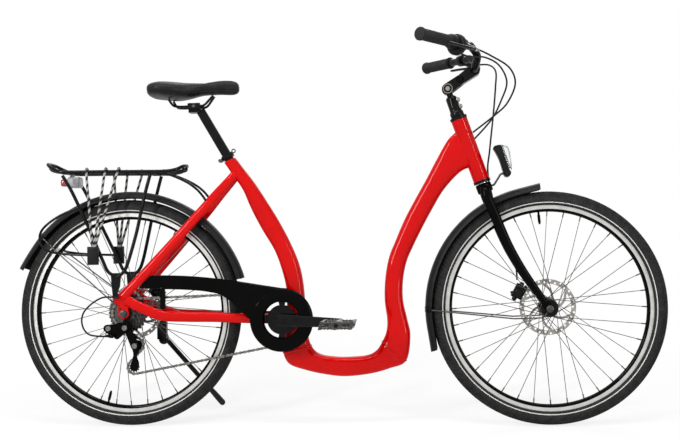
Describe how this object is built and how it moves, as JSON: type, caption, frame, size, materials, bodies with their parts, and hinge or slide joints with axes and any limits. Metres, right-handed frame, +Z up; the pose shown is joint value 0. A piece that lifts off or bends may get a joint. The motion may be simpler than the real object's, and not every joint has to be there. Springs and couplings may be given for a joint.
{
  "type": "step-through bicycle",
  "caption": "Step-through city bicycle with a deep U-shaped frame, mudguards, carrier, chain guard, disc brakes and lamps, parked leaning on its side stand",
  "frame": {"origin": "on the floor under the middle of the outer box", "axes": "+X forward, +Y to the rider's left, +Z up; the bicycle leans to its left on its deployed side stand"},
  "size_m": [1.85, 0.6237, 1.0993],
  "materials": {
    "red_paint": "gloss",
    "black_paint": "satin",
    "black_gloss": "gloss",
    "dark_metal": "satin",
    "steel": "brushed",
    "rim_metal": "satin",
    "saddle_cover": "matte",
    "black_plastic": "satin",
    "silver_plastic": "satin",
    "red_lens": "gloss",
    "clear_lens": "gloss",
    "strap_rubber": "matte",
    "grip_rubber": "matte",
    "tyre_rubber": "matte"
  },
  "bodies": {
    "frame": {"main_frame": "red_paint", "head_tube": "red_paint", "headset_cups": "black_paint", "bottom_bracket": "black_paint", "chainstays": "red_paint", "seatstays": "red_paint", "dropouts": "red_paint", "seat_clamp": "dark_metal", "seat_post": "black_paint", "saddle_rails": "dark_metal", "saddle": "saddle_cover", "chain_guard": "black_gloss", "chain": "dark_metal", "derailleur": "black_paint", "rear_mudguard": "black_plastic", "rear_mudguard_stays": "dark_metal", "carrier_deck": "black_paint", "carrier_legs": "black_paint", "bungee_straps": "strap_rubber", "tail_lamp": "silver_plastic", "tail_lens": "red_lens", "rear_caliper": "black_paint", "gear_cable": "black_plastic", "stand_bracket": "black_paint", "rear_axle": "steel"},
    "steering": {"steerer": "steel", "fork": "black_gloss", "stem_base": "black_paint", "stem_arm": "black_paint", "handlebar": "black_paint", "grips": "grip_rubber", "twist_shifter": "black_plastic", "brake_levers": "black_paint", "front_mudguard": "black_plastic", "front_mudguard_stays": "dark_metal", "front_caliper": "black_paint", "head_lamp": "black_plastic", "head_lens": "clear_lens", "lamp_bracket": "dark_metal", "front_axle": "steel", "front_brake_cable": "black_plastic", "control_cables": "black_plastic"},
    "front_wheel": {"tyre_front": "tyre_rubber", "rim_front": "rim_metal", "spokes_front": "steel", "hub_front": "black_paint", "rotor_front": "steel"},
    "rear_wheel": {"tyre_rear": "tyre_rubber", "rim_rear": "rim_metal", "spokes_rear": "steel", "hub_rear": "black_paint", "rotor_rear": "steel", "cassette": "dark_metal"},
    "crank": {"crankset": "black_paint", "chainring": "dark_metal"},
    "pedal_l": {"pedal_left": "black_plastic"},
    "pedal_r": {"pedal_right": "black_plastic"},
    "stand": {"stand_leg": "black_paint"}
  },
  "joints": [
    {"name": "steering", "type": "hinge", "parent": "frame", "child": "steering", "pos_m": [0.419, -0.04473, 0.68205], "axis": [-0.3272, 0.1152, 0.9379], "range_deg": [-60, 60], "deforming": ["control_cables"]},
    {"name": "front_wheel_spin", "type": "hinge", "parent": "steering", "child": "front_wheel", "pos_m": [0.599, -0.08872, 0.32375], "axis": [0, 0.9925, -0.1219], "continuous": true},
    {"name": "rear_wheel_spin", "type": "hinge", "parent": "frame", "child": "rear_wheel", "pos_m": [-0.599, -0.08872, 0.32375], "axis": [0, 0.9925, -0.1219], "continuous": true},
    {"name": "crank_spin", "type": "hinge", "parent": "frame", "child": "crank", "pos_m": [-0.149, -0.09152, 0.30092], "axis": [0, 0.9925, -0.1219], "continuous": true},
    {"name": "pedal_left_spin", "type": "hinge", "parent": "crank", "child": "pedal_l", "pos_m": [-0.31677, -0.09045, 0.30964], "axis": [0, 0.9925, -0.1219], "continuous": true},
    {"name": "pedal_right_spin", "type": "hinge", "parent": "crank", "child": "pedal_r", "pos_m": [0.01877, -0.09259, 0.29219], "axis": [0, 0.9925, -0.1219], "continuous": true},
    {"name": "side_stand", "type": "hinge", "parent": "frame", "child": "stand", "pos_m": [-0.523, -0.00716, 0.23313], "axis": [-0.0958, 0.9839, 0.1507], "range_deg": [0, 119.4]}
  ]
}
